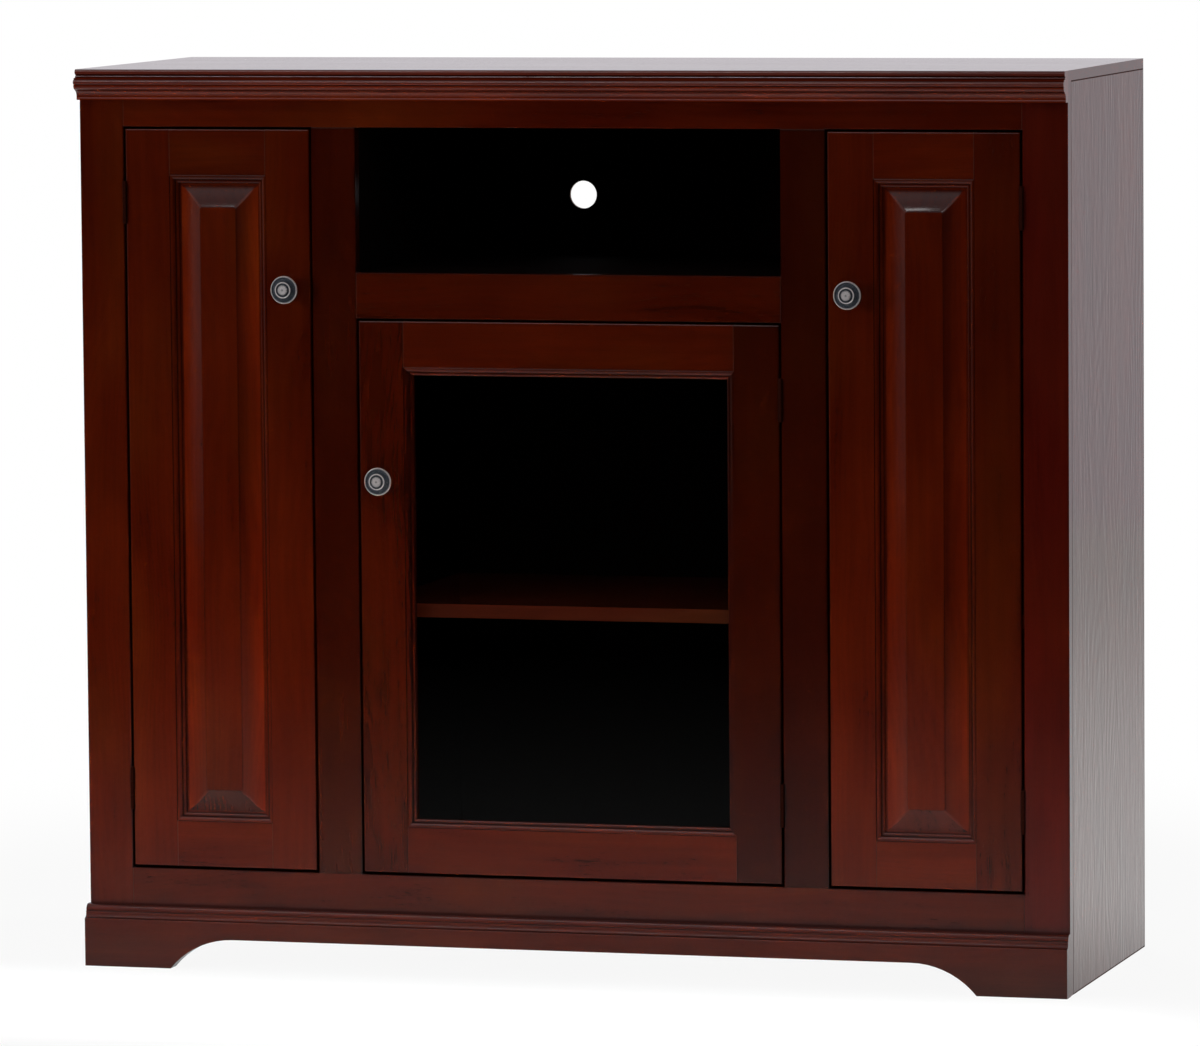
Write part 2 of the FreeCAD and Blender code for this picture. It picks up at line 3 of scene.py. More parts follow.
import bmesh
import bpy
from mathutils import Euler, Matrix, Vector


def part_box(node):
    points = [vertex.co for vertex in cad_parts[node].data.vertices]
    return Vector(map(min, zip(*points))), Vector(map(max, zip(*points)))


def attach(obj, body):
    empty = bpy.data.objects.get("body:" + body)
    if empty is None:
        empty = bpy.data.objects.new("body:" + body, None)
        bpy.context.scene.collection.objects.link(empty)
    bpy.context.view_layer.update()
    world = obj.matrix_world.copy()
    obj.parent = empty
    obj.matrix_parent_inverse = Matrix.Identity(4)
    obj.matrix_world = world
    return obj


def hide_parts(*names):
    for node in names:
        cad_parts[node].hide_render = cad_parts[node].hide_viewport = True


# A tv armoire in dark cherry: a face-framed case with two raised-panel side doors, one
# glazed centre door and an open bay over it. The sections follow the cabinet as it is
# put together, after the camera and the studio. Lengths are in metres.

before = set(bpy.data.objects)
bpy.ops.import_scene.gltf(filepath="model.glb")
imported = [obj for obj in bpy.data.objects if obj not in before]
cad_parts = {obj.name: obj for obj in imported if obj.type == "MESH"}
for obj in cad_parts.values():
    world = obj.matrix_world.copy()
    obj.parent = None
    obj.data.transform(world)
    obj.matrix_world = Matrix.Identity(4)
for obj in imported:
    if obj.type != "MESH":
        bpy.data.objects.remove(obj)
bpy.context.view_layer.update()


# ---- Camera ----------------------------------------------------------------------
# A long lens, a little to the right of the cabinet and a little above its top.

camera_place = (3.0644, -10.7839, 1.6450)
camera_angles = (84.7608, 0.4611, 15.9217)
lens_length = 239.376

camera_data = bpy.data.cameras.new("camera")
camera_data.sensor_width = 36.0
camera_data.lens = lens_length
camera_data.clip_start = 0.1
camera_data.clip_end = 100.0
camera = bpy.data.objects.new("camera", camera_data)
camera.location = camera_place
camera.rotation_euler = [math.radians(angle) for angle in camera_angles]
bpy.context.scene.collection.objects.link(camera)
bpy.context.scene.camera = camera
bpy.context.scene.view_settings.view_transform = "Standard"


# ---- Studio ----------------------------------------------------------------------
# A white floor runs out into a white background. Softboxes stand at the left, right and
# back, one hangs over the floor in front, which throws its light up on the doors, and three
# lamps give the glints. What mirrors is dark in front, and pale overhead and behind.

def add_node(tree, kind, inputs=None, **settings):
    """Adds a node. inputs gives, for a socket's name or number, a value or a source."""
    node = tree.nodes.new(kind)
    for name, value in settings.items():
        setattr(node, name, value)
    for key, value in (inputs or {}).items():
        if isinstance(value, bpy.types.NodeSocket):
            tree.links.new(value, node.inputs[key])
        else:
            node.inputs[key].default_value = value
    return node


def add_math(tree, operation, *values):
    """The result of a Math node on sockets or numbers."""
    return add_node(tree, "ShaderNodeMath", dict(enumerate(values)), operation=operation).outputs[0]


def add_rise(tree, value, start, end, low=0.0, high=1.0):
    """low up to start, high from end on, and a smooth rise between them."""
    inputs = {"Value": value, "From Min": start, "From Max": end, "To Min": low, "To Max": high}
    return add_node(tree, "ShaderNodeMapRange", inputs, interpolation_type="SMOOTHSTEP").outputs[0]


def add_vector_math(tree, operation, *values):
    """The result of a Vector Math node on sockets or vectors."""
    node = add_node(tree, "ShaderNodeVectorMath", dict(enumerate(values)), operation=operation)
    return node.outputs["Value" if operation == "LENGTH" else "Vector"]


def add_mix(tree, factor, low, high):
    """The number between low and high that factor gives."""
    return add_node(tree, "ShaderNodeMix", {"Factor": factor, "A": low, "B": high}).outputs[0]


def add_color_mix(tree, factor, low, high, **settings):
    """Two colours mixed by factor, blended as the settings say."""
    inputs = {"Factor": factor, "A": low, "B": high}
    return add_node(tree, "ShaderNodeMix", inputs, data_type="RGBA", **settings).outputs["Result"]


def add_seen(tree, ray):
    """1 for what the camera sees, straight or through glass, and 0 for all other rays."""
    bounces = add_math(tree, "ADD", ray["Diffuse Depth"], ray["Glossy Depth"])
    straight = add_math(tree, "LESS_THAN", bounces, 0.5)
    through_glass = add_math(tree, "MULTIPLY", ray["Is Transmission Ray"], straight)
    return add_math(tree, "MAXIMUM", ray["Is Camera Ray"], through_glass)


def blank_material(name):
    """A material with nothing in its node tree."""
    material = bpy.data.materials.new(name)
    material.use_nodes = True
    material.node_tree.nodes.clear()
    return material


floor_radius = 7.0
floor_sides = 96
floor_color = (0.80, 0.79, 0.79, 1.0)
floor_whitening = {"start": 1.2, "end": 2.4, "low": 0.92, "high": 1.0}
mirrored_fading = {"From Min": 0.3, "From Max": 4.4, "To Min": 1.0, "To Max": 0.0}
mirrored_fading_power = 1.5
mirrored_near = {"start": 0.45, "end": 0.85, "low": 0.27, "high": 0.45}
mirrored_far = {"start": 0.8, "end": 6.5, "low": 1.0, "high": 0.60}
front_to_back = {"start": -0.9, "end": 0.9}

floor_mesh = bpy.data.meshes.new("floor")
floor_shape = bmesh.new()
bmesh.ops.create_circle(floor_shape, cap_ends=True, segments=floor_sides, radius=floor_radius)
floor_shape.to_mesh(floor_mesh)
floor_shape.free()
floor = bpy.data.objects.new("floor", floor_mesh)
bpy.context.scene.collection.objects.link(floor)

floor_material = blank_material("white floor")
floor_material.cycles.emission_sampling = "NONE"
tree = floor_material.node_tree
place = add_node(tree, "ShaderNodeTexCoord").outputs["Object"]
reach = add_vector_math(tree, "LENGTH", place)
depth = add_node(tree, "ShaderNodeSeparateXYZ", {0: place}).outputs["Y"]
ray = add_node(tree, "ShaderNodeLightPath").outputs
whiteness = add_rise(tree, reach, **floor_whitening)
fading = add_node(tree, "ShaderNodeMapRange", {"Value": reach, **mirrored_fading}).outputs[0]
faded = add_math(tree, "POWER", fading, mirrored_fading_power)
mirrored_front = add_math(tree, "MULTIPLY", faded, add_rise(tree, reach, **mirrored_near))
mirrored_back = add_rise(tree, reach, **mirrored_far)
mirrored = add_mix(tree, add_rise(tree, depth, **front_to_back), mirrored_front, mirrored_back)
seen = add_seen(tree, ray)
glow = add_node(tree, "ShaderNodeEmission", {"Strength": add_mix(tree, seen, mirrored, 1.0)})
share = add_math(tree, "MAXIMUM", add_math(tree, "MULTIPLY", seen, whiteness), ray["Is Glossy Ray"])
lit = add_node(tree, "ShaderNodeBsdfDiffuse", {"Color": floor_color})
mixed = add_node(tree, "ShaderNodeMixShader", {0: share, 1: lit.outputs[0], 2: glow.outputs[0]})
add_node(tree, "ShaderNodeOutputMaterial", {"Surface": mixed.outputs[0]})
floor_mesh.materials.append(floor_material)

ambient_level = 0.035
ambient_color = (0.99, 0.945, 1.0, 1.0)
white = (1.0, 1.0, 1.0, 1.0)
pale_behind_rise = {"start": -0.15, "end": 0.35, "low": 0.0, "high": 0.58}
white_behind_rise = {"start": 0.2, "end": 0.5}
horizon_rise = {"start": 0.0, "end": 0.08, "low": 0.0, "high": 0.355}
pale_left_rise = {"start": 0.50, "end": 0.80, "low": 0.0, "high": 0.12}
ceiling_rise = {"start": 0.07, "end": 0.17, "low": 0.0, "high": 0.58}
overhead_fall = {"start": 0.25, "end": 0.7, "low": 0.0, "high": -0.22}

world = bpy.data.worlds.new("studio")
bpy.context.scene.world = world
world.use_nodes = True
tree = world.node_tree
tree.nodes.clear()
direction = add_node(tree, "ShaderNodeSeparateXYZ",
                     {0: add_node(tree, "ShaderNodeTexCoord").outputs["Generated"]}).outputs
pale_behind = add_rise(tree, direction["Y"], **pale_behind_rise)
above_horizon = add_rise(tree, direction["Z"], **horizon_rise)
white_behind = add_math(tree, "MULTIPLY", add_rise(tree, direction["Y"], **white_behind_rise), above_horizon)
leftward = add_math(tree, "MULTIPLY", direction["X"], -1.0)
pale_left = add_rise(tree, leftward, **pale_left_rise)
pale_ceiling = add_rise(tree, direction["Z"], **ceiling_rise)
dimmer_overhead = add_rise(tree, direction["Z"], **overhead_fall)
ceiling = add_math(tree, "ADD", pale_ceiling, dimmer_overhead)
room = add_math(tree, "MAXIMUM", add_math(tree, "ADD", pale_behind, white_behind),
                add_math(tree, "MAXIMUM", pale_left, ceiling))
ray = add_node(tree, "ShaderNodeLightPath").outputs
seen = add_seen(tree, ray)
unseen_level = add_mix(tree, ray["Is Glossy Ray"], ambient_level, room)
background = add_node(tree, "ShaderNodeBackground",
                      {"Color": add_color_mix(tree, seen, ambient_color, white),
                       "Strength": add_mix(tree, seen, unseen_level, 1.0)})
add_node(tree, "ShaderNodeOutputWorld", {"Surface": background.outputs[0]})


def add_softbox(name, place, target, size, power, spread=180.0, glints=False):
    """A soft rectangular lamp at place, turned to face target. spread is its beam's angle."""
    data = bpy.data.lights.new(name, "AREA")
    data.shape = "RECTANGLE"
    data.size, data.size_y = size
    data.energy = power
    data.spread = math.radians(spread)
    lamp = bpy.data.objects.new(name, data)
    lamp.location = place
    lamp.rotation_euler = (Vector(target) - Vector(place)).to_track_quat("-Z", "Y").to_euler()
    lamp.visible_camera = False
    lamp.visible_transmission = False
    lamp.visible_glossy = glints
    bpy.context.scene.collection.objects.link(lamp)


add_softbox("left softbox", place=(-4.6, -3.9, 1.6), target=(0.0, -0.2, 0.6), size=(1.5, 1.9), power=148.0)
add_softbox("floor softbox", place=(-0.15, -0.60, 1.9), target=(-0.15, -0.60, 0.0), size=(2.0, 0.30),
            power=15.5, spread=16.0)
add_softbox("left glint softbox", place=(-3.2, -1.1, 1.35), target=(0.0, -0.3, 1.05), size=(2.4, 1.3),
            power=1.0, glints=True)
add_softbox("high strip", place=(-1.35, -2.7, 4.2), target=(0.0, -0.3, 0.7), size=(2.1, 0.30),
            power=13.0, glints=True)
add_softbox("high spot", place=(1.7, -5.0, 4.1), target=(0.0, -0.3, 0.9), size=(0.7, 0.7),
            power=18.0, glints=True)
add_softbox("right softbox", place=(4.2, 1.5, 1.5), target=(0.6, 0.0, 0.5), size=(2.0, 1.8), power=90.0)
add_softbox("back softbox", place=(-1.5, 4.4, 2.2), target=(0.0, 0.2, 0.5), size=(2.0, 1.8), power=90.0)


# ---- Case boards -----------------------------------------------------------------
# The sides and the flat top are cherry-veneered board, stained dark and lacquered to a
# semi-gloss. Everything stained shares one grain, laid along each board's own length.

ring_turns_per_metre = 900.0
ring_stretch = (1.0, 1.0, 0.03)
seam_darkness = {"start": 0.0003, "end": 0.0013, "low": 0.35, "high": 1.0}
quirk_painted_shade = {"start": 0.55, "end": 0.96, "low": 0.30, "high": 1.0}
surface_outputs = {
    "Color": "NodeSocketColor",
    "Roughness": "NodeSocketFloat",
    "Height": "NodeSocketFloat",
}


def new_group(name, kind, inputs, outputs):
    """A node group with named inputs and outputs, and the sockets that bring its inputs in."""
    group = bpy.data.node_groups.new(name, kind)
    for way, sockets in (("INPUT", inputs), ("OUTPUT", outputs)):
        for socket, socket_kind in sockets.items():
            group.interface.new_socket(socket, in_out=way, socket_type=socket_kind)
    return group, add_node(group, "NodeGroupInput").outputs


def build_stained_grain():
    """Growth rings, fibres, blotches and pores of a stained board that runs along Z."""
    group, given = new_group("Stained grain", "ShaderNodeTree", {
        "Board position": "NodeSocketVector",
        "From pith": "NodeSocketVector",
        "Figure": "NodeSocketFloat",
        "Openness": "NodeSocketFloat",
        "Seam reach": "NodeSocketVector",
        "Pale stain": "NodeSocketColor",
        "Deep stain": "NodeSocketColor",
        "Warm patches": "NodeSocketColor",
        "Tone": "NodeSocketFloat",
        "Sheen": "NodeSocketFloat",
        "Relief": "NodeSocketFloat",
    }, surface_outputs)
    position = given["Board position"]

    def noise(stretch, detail):
        """Noise whose cells per metre across and along the board are given by stretch."""
        scaled = add_vector_math(group, "MULTIPLY", position, stretch)
        return add_node(group, "ShaderNodeTexNoise",
                        {"Vector": scaled, "W": given["Figure"], "Scale": 1.0, "Detail": detail},
                        noise_dimensions="4D").outputs

    wander = noise((3.0, 3.0, 1.1), 2.0)["Color"]
    shifted = add_vector_math(group, "MULTIPLY_ADD", wander, (0.30, 0.12, 0.0), (-0.15, -0.06, 0.0))
    grown = add_vector_math(group, "ADD", position, given["From pith"])
    bent = add_vector_math(group, "ADD", grown, shifted)
    from_pith = add_vector_math(group, "LENGTH", add_vector_math(group, "MULTIPLY", bent, ring_stretch))
    rings = add_math(group, "SINE", add_math(group, "MULTIPLY", from_pith, ring_turns_per_metre))
    fibres = noise((620.0, 620.0, 9.0), 2.0)["Fac"]
    streaks = noise((95.0, 95.0, 2.2), 1.0)["Fac"]
    clouds = noise((26.0, 26.0, 7.0), 2.0)["Fac"]
    blotches = noise((8.0, 8.0, 3.0), 2.0)
    pores = add_rise(group, noise((1500.0, 1500.0, 70.0), 1.0)["Fac"], 0.60, 0.72)

    tone = add_math(group, "MULTIPLY_ADD", rings, 0.05, 0.40)
    for mask, amount in ((fibres, 0.30), (streaks, 0.50), (clouds, 0.9), (blotches["Fac"], 1.0)):
        tone = add_math(group, "ADD", tone, add_math(group, "MULTIPLY_ADD", mask, amount, -amount / 2))
    stained = add_color_mix(group, tone, given["Deep stain"], given["Pale stain"], clamp_factor=True)
    warmth = add_node(group, "ShaderNodeSeparateXYZ", {0: blotches["Color"]}).outputs["Y"]
    warmed = add_color_mix(group, add_rise(group, warmth, 0.48, 0.66), stained, given["Warm patches"],
                           blend_type="MULTIPLY")

    from_middle = add_vector_math(group, "ABSOLUTE", position)
    from_edges = add_vector_math(group, "SUBTRACT", given["Seam reach"], from_middle)
    edges = add_node(group, "ShaderNodeSeparateXYZ", {0: from_edges}).outputs
    nearest = add_math(group, "MINIMUM", edges["X"], add_math(group, "MINIMUM", edges["Y"], edges["Z"]))
    seam = add_rise(group, nearest, **seam_darkness)
    # Openness darkens the colour in the quirks: painted shade, standing also for stain gathered there.
    quirk_shade = add_rise(group, given["Openness"], **quirk_painted_shade)
    pores_and_quirk_shade = add_math(group, "MULTIPLY", add_math(group, "MULTIPLY_ADD", pores, -0.22, 1.0), quirk_shade)
    brightness = add_math(group, "MULTIPLY", add_math(group, "MULTIPLY", seam, pores_and_quirk_shade), given["Tone"])
    darkened = add_node(group, "ShaderNodeVectorMath", {0: warmed, "Scale": brightness}, operation="SCALE")

    ripple = noise((45.0, 45.0, 14.0), 2.0)["Fac"]
    height = add_math(group, "MULTIPLY_ADD", fibres, 0.10, add_math(group, "MULTIPLY", ripple, 0.9))
    height = add_math(group, "MULTIPLY_ADD", pores, -0.08, height)
    flecks = noise((75.0, 75.0, 26.0), 3.0)["Fac"]
    veins = add_math(group, "MULTIPLY_ADD", rings, 0.06, add_math(group, "MULTIPLY", streaks, 0.25))
    veins = add_math(group, "MULTIPLY_ADD", flecks, 0.60, veins)
    height = add_math(group, "MULTIPLY_ADD", veins, given["Relief"], height)
    height = add_math(group, "MULTIPLY_ADD", seam, 1.5, height)
    roughness = add_math(group, "MULTIPLY_ADD", blotches["Fac"], 0.06, given["Sheen"])
    roughness = add_math(group, "MULTIPLY_ADD", pores, 0.12, roughness)
    roughness = add_math(group, "MULTIPLY_ADD", add_math(group, "SUBTRACT", 1.0, seam), 1.3, roughness)
    add_node(group, "NodeGroupOutput",
             {"Color": darkened.outputs[0], "Roughness": roughness, "Height": height})
    return group


stained_grain = build_stained_grain()
cherry_stain = ((0.090, 0.0085, 0.0008, 1.0), (0.040, 0.0026, 0.0002, 1.0))
lacquer_sheen = 0.10
lacquer_index = 1.47
grain_depth = 0.00012
figure_step = 1.7
warm_patches = (1.08, 1.45, 1.20, 1.0)
no_seam = 9.0
quirk_size = 0.005
quirk_samples = 6
board_count = 0


def stained_board(name, box, axis, stain=cherry_stain, tone=1.0, sheen=lacquer_sheen,
                  gloss=0.5, relief=0.0, seams="", half_length=no_seam, joint_width=0.0,
                  from_pith=(0.0, 0.04, 0.0), moulded=False, patches=warm_patches):
    """A lacquered board's material, grain along axis. Dark joint lines show at its ends along the
    seams' axes, and half_length from its middle; at the seams they can be widened by painted
    shadow. In a moulded board an ambient occlusion darkens the colour in the quirks: painted
    shade, which also stands for stain gathered there."""
    global board_count
    board_count += 1
    turn = {"X": Euler((0.0, -math.pi / 2, 0.0)), "Y": Euler((math.pi / 2, 0.0, 0.0)), "Z": Euler()}[axis]
    middle = (box[0] + box[1]) / 2
    seam_reach = Vector((no_seam, no_seam, half_length))
    for seam_axis in seams:
        number = "XYZ".index(seam_axis)
        own = turn.to_matrix().col[number]
        reach = (box[1] - box[0])[number] / 2 - joint_width
        seam_reach[max(range(3), key=lambda index: abs(own[index]))] = reach
    material = blank_material(name)
    tree = material.node_tree
    position = add_node(tree, "ShaderNodeMapping",
                        {"Vector": add_node(tree, "ShaderNodeTexCoord").outputs["Object"],
                         "Rotation": turn, "Location": -(turn.to_matrix() @ middle)})
    openness = 1.0
    # Ambient occlusion in the quirks darkens the colour: painted shade, standing also for stain gathered
    # there.
    if moulded:
        openness = add_node(tree, "ShaderNodeAmbientOcclusion", {"Distance": quirk_size},
                            only_local=True, samples=quirk_samples).outputs["AO"]
    pale_stain, deep_stain = stain
    grain = add_node(tree, "ShaderNodeGroup", {
        "Board position": position.outputs[0],
        "From pith": from_pith,
        "Figure": figure_step * board_count,
        "Openness": openness,
        "Seam reach": seam_reach,
        "Pale stain": pale_stain,
        "Deep stain": deep_stain,
        "Warm patches": patches,
        "Tone": tone,
        "Sheen": sheen,
        "Relief": relief,
    }, node_tree=stained_grain, name="grain")
    bump = add_node(tree, "ShaderNodeBump",
                    {"Height": grain.outputs["Height"], "Distance": grain_depth, "Strength": 1.0})
    lacquer = add_node(tree, "ShaderNodeBsdfPrincipled",
                       {"Base Color": grain.outputs["Color"], "Roughness": grain.outputs["Roughness"],
                        "Normal": bump.outputs[0], "IOR": lacquer_index, "Specular IOR Level": gloss})
    add_node(tree, "ShaderNodeOutputMaterial", {"Surface": lacquer.outputs[0]})
    return material


def finish_node(node, material):
    """Gives a CAD node its finish."""
    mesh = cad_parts[node].data
    mesh.materials.clear()
    mesh.materials.append(material)


def finish_boards(nodes, axis, **choices):
    """Gives each CAD node a board's finish of its own, with the grain along axis."""
    for node in nodes:
        finish_node(node, stained_board(node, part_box(node), axis, **choices))


# The side panels' dark joint lines are widened by 1 mm of painted shadow, where the front edge rounds over
# into the joint.
finish_boards(("side_panel_left", "side_panel_right"), "Z", seams="YZ", relief=9.0,
              joint_width=0.001, from_pith=(0.10, 0.02, 0.0))
finish_boards(("top_panel",), "X")


# ---- Inside of the case ----------------------------------------------------------
# The dividers, bottom, media shelf and stretcher are nearly black: painted shade for the dark
# inside of the case. The shelves, housed in the dividers and the sides, are stained a redder
# brown, and made brighter still by painted light.

# Nearly black: painted shade for the dark inside of the case.
inner_painted_shade = {
    "stain": ((0.0050, 0.0022, 0.0016, 1.0), (0.0025, 0.0010, 0.0008, 1.0)),
    "sheen": 0.70,
    "gloss": 0.03,
}
shelf_stain = ((0.094, 0.0140, 0.0050, 1.0), (0.046, 0.0055, 0.0018, 1.0))

finish_boards(("divider_left", "divider_right"), "Z", **inner_painted_shade)
finish_boards(("bottom_panel", "media_shelf", "rear_stretcher"), "X", **inner_painted_shade)
# The shelves' tone, above their stain's own, is painted light.
finish_boards(("centre_shelf",), "X", stain=shelf_stain, tone=2.8, gloss=0.8)
finish_boards(("left_shelf_1", "left_shelf_2", "right_shelf_1", "right_shelf_2"), "X",
              stain=shelf_stain, tone=2.1, gloss=0.8)


# ---- Back ------------------------------------------------------------------------
# A sheet of dark stained plywood lies in the sides' rebates, with a round cable hole. Its
# face is set in a little, so that the heads of its steel nails end flush with the case.

sharp_angle = math.radians(32.0)


def mesh_piece(name, shape, materials):
    """A piece from a finished bmesh, with smooth faces and sharp arrises."""
    mesh = bpy.data.meshes.new(name)
    shape.to_mesh(mesh)
    shape.free()
    mesh.shade_smooth()
    mesh.set_sharp_from_angle(angle=sharp_angle)
    for material in materials:
        mesh.materials.append(material)
    piece = bpy.data.objects.new(name, mesh)
    bpy.context.scene.collection.objects.link(piece)
    return piece


def grown_piece(name, starts, tree, inputs):
    """A piece that a geometry tree grows from a mesh of starts and named inputs, as a plain mesh."""
    piece = bpy.data.objects.new(name, starts)
    bpy.context.scene.collection.objects.link(piece)
    modifier = piece.modifiers.new("grown", "NODES")
    modifier.node_group = tree
    for socket in tree.interface.items_tree:
        if socket.in_out == "INPUT" and socket.name in inputs:
            modifier[socket.identifier] = inputs[socket.name]
    seen_now = bpy.context.evaluated_depsgraph_get()
    finished = bpy.data.meshes.new_from_object(piece.evaluated_get(seen_now), depsgraph=seen_now)
    piece.modifiers.clear()
    piece.data = finished
    finished.name = name
    return piece


def build_worn_metal():
    """Dull metal rubbed bright in places, with a mottled face."""
    group, given = new_group("Worn metal", "ShaderNodeTree", {
        "Metal position": "NodeSocketVector",
        "Rubbed": "NodeSocketFloat",
        "Bright metal": "NodeSocketColor",
        "Dull metal": "NodeSocketColor",
        "Polish": "NodeSocketFloat",
    }, surface_outputs)
    position = given["Metal position"]
    mottle = add_node(group, "ShaderNodeTexNoise", {"Vector": position, "Scale": 900.0, "Detail": 4.0})
    grit = add_node(group, "ShaderNodeTexNoise", {"Vector": position, "Scale": 3200.0, "Detail": 2.0})
    patches = add_math(group, "MULTIPLY_ADD", mottle.outputs["Fac"], 0.9, -0.45)
    worn = add_math(group, "ADD", given["Rubbed"], patches)
    color = add_color_mix(group, worn, given["Dull metal"], given["Bright metal"], clamp_factor=True)
    unpolished = add_math(group, "SUBTRACT", 1.0, given["Polish"])
    roughness = add_math(group, "MULTIPLY_ADD", worn, -0.16, unpolished)
    height = add_math(group, "MULTIPLY_ADD", grit.outputs["Fac"], 0.5, mottle.outputs["Fac"])
    add_node(group, "NodeGroupOutput", {"Color": color, "Roughness": roughness, "Height": height})
    return group


worn_metal = build_worn_metal()


def metal_finish(name, bright, dull, polish, rubbed=0.5, metallic=1.0, relief=0.00006):
    """A metal's material. rubbed is a share or the name of a mesh attribute that gives it."""
    material = blank_material(name)
    tree = material.node_tree
    if isinstance(rubbed, str):
        rubbed = add_node(tree, "ShaderNodeAttribute", attribute_name=rubbed).outputs["Fac"]
    metal = add_node(tree, "ShaderNodeGroup", {
        "Metal position": add_node(tree, "ShaderNodeTexCoord").outputs["Object"],
        "Rubbed": rubbed,
        "Bright metal": bright,
        "Dull metal": dull,
        "Polish": polish,
    }, node_tree=worn_metal)
    bump = add_node(tree, "ShaderNodeBump", {"Height": metal.outputs["Height"], "Distance": relief})
    surface = add_node(tree, "ShaderNodeBsdfPrincipled",
                       {"Base Color": metal.outputs["Color"], "Roughness": metal.outputs["Roughness"],
                        "Normal": bump.outputs[0], "Metallic": metallic})
    add_node(tree, "ShaderNodeOutputMaterial", {"Surface": surface.outputs[0]})
    return material


nail_head_radius = 0.0022
nail_head_taper = 0.8
nail_head_rise = 0.0004
nail_head_sides = 16
nail_spacing = 0.11
nail_inset = 0.0085
nail_wander = 0.0015
nail_seed = 7


def build_nail_rows():
    """Nails with flat heads, along the edges of a mesh that mark their rows on the back."""
    tree, given = new_group("Nail rows", "GeometryNodeTree", {
        "Rows": "NodeSocketGeometry",
        "Spacing": "NodeSocketFloat",
        "Wander": "NodeSocketFloat",
        "Head radius": "NodeSocketFloat",
        "Head taper": "NodeSocketFloat",
        "Head rise": "NodeSocketFloat",
        "Metal": "NodeSocketMaterial",
    }, {"Nails": "NodeSocketGeometry"})
    rows = add_node(tree, "GeometryNodeMeshToCurve", {0: given["Rows"]})
    spots = add_node(tree, "GeometryNodeResampleCurve",
                     {"Curve": rows.outputs[0], "Length": given["Spacing"]}, mode="LENGTH")
    sideways = add_node(tree, "ShaderNodeCombineXYZ", {"X": given["Wander"], "Z": given["Wander"]})
    other_way = add_node(tree, "ShaderNodeVectorMath", {0: sideways.outputs[0], "Scale": -1.0},
                         operation="SCALE")
    strayed = add_node(tree, "FunctionNodeRandomValue",
                       {"Min": other_way.outputs[0], "Max": sideways.outputs[0], "Seed": nail_seed},
                       data_type="FLOAT_VECTOR")
    placed = add_node(tree, "GeometryNodeSetPosition",
                      {"Geometry": spots.outputs[0], "Offset": strayed.outputs[0]})
    head_top = add_math(tree, "MULTIPLY", given["Head radius"], given["Head taper"])
    head = add_node(tree, "GeometryNodeMeshCone",
                    {"Vertices": nail_head_sides, "Radius Top": head_top,
                     "Radius Bottom": given["Head radius"], "Depth": given["Head rise"]})
    nails = add_node(tree, "GeometryNodeInstanceOnPoints",
                     {"Points": placed.outputs[0], "Instance": head.outputs["Mesh"],
                      "Rotation": (-math.pi / 2, 0.0, 0.0)})
    solid = add_node(tree, "GeometryNodeRealizeInstances", {0: nails.outputs[0]})
    finished = add_node(tree, "GeometryNodeSetMaterial",
                        {"Geometry": solid.outputs[0], "Material": given["Metal"]})
    add_node(tree, "NodeGroupOutput", {0: finished.outputs[0]})
    return tree


cable_hole_place = (-0.1135, 1.067)
cable_hole_radius = 0.020
cable_hole_bevel = 0.0008
cable_hole_sides = 64
flat_facing = 0.9

outer_finish = {
    "stain": ((0.105, 0.036, 0.023, 1.0), (0.060, 0.019, 0.012, 1.0)),
    "sheen": 0.42,
    "gloss": 0.3,
    "patches": (1.10, 1.12, 1.05, 1.0),
}
cut_ply_finish = {
    "stain": ((0.110, 0.050, 0.026, 1.0), (0.040, 0.016, 0.009, 1.0)),
    "sheen": 0.6,
    "gloss": 0.2,
}
back_low, back_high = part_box("back_panel")
back_face_y = back_high.y - nail_head_rise


def ring_of_points(shape, radius, y):
    """The cable hole's edge at a radius and a depth."""
    turns = [2 * math.pi * index / cable_hole_sides for index in range(cable_hole_sides)]
    return [shape.verts.new((cable_hole_place[0] + radius * math.cos(turn), y,
                             cable_hole_place[1] + radius * math.sin(turn))) for turn in turns]


def rectangle_of_points(shape, y):
    """The sheet's four corners at a depth."""
    corners = ((back_low.x, back_low.z), (back_high.x, back_low.z),
               (back_high.x, back_high.z), (back_low.x, back_high.z))
    return [shape.verts.new((x, y, z)) for x, z in corners]


def closed_edges(shape, loop):
    """The edges round a loop of points, made where they are missing."""
    return [shape.edges.get((a, b)) or shape.edges.new((a, b)) for a, b in zip(loop, loop[1:] + loop[:1])]


def wall(shape, lower, upper):
    """A band of faces between two loops of as many points."""
    for index in range(len(lower)):
        following = (index + 1) % len(lower)
        shape.faces.new((lower[index], lower[following], upper[following], upper[index]))


def back_sheet(name):
    """The sheet, with its hole bevelled at the back. Its faces take the inner painted shade, the outer finish
    and the cut finish.
    """
    shape = bmesh.new()
    inner_edge = rectangle_of_points(shape, back_low.y)
    outer_edge = rectangle_of_points(shape, back_face_y)
    hole = [ring_of_points(shape, cable_hole_radius, back_low.y),
            ring_of_points(shape, cable_hole_radius, back_face_y - cable_hole_bevel),
            ring_of_points(shape, cable_hole_radius + cable_hole_bevel, back_face_y)]
    wall(shape, inner_edge, outer_edge)
    wall(shape, hole[0], hole[1])
    wall(shape, hole[1], hole[2])
    for edge, ring in ((inner_edge, hole[0]), (outer_edge, hole[2])):
        bmesh.ops.triangle_fill(shape, use_beauty=True,
                                edges=closed_edges(shape, edge) + closed_edges(shape, ring))
    bmesh.ops.recalc_face_normals(shape, faces=shape.faces)
    shape.normal_update()
    for face in shape.faces:
        if face.normal.y < -flat_facing:
            face.material_index = 0
        elif face.normal.y > flat_facing:
            face.material_index = 1
        else:
            face.material_index = 2
    box = (back_low, back_high)
    finishes = [stained_board("inside of the back", box, "Z", **inner_painted_shade),
                stained_board("outside of the back", box, "Z", **outer_finish),
                stained_board("cut plies", box, "Y", **cut_ply_finish)]
    return mesh_piece(name, shape, finishes)


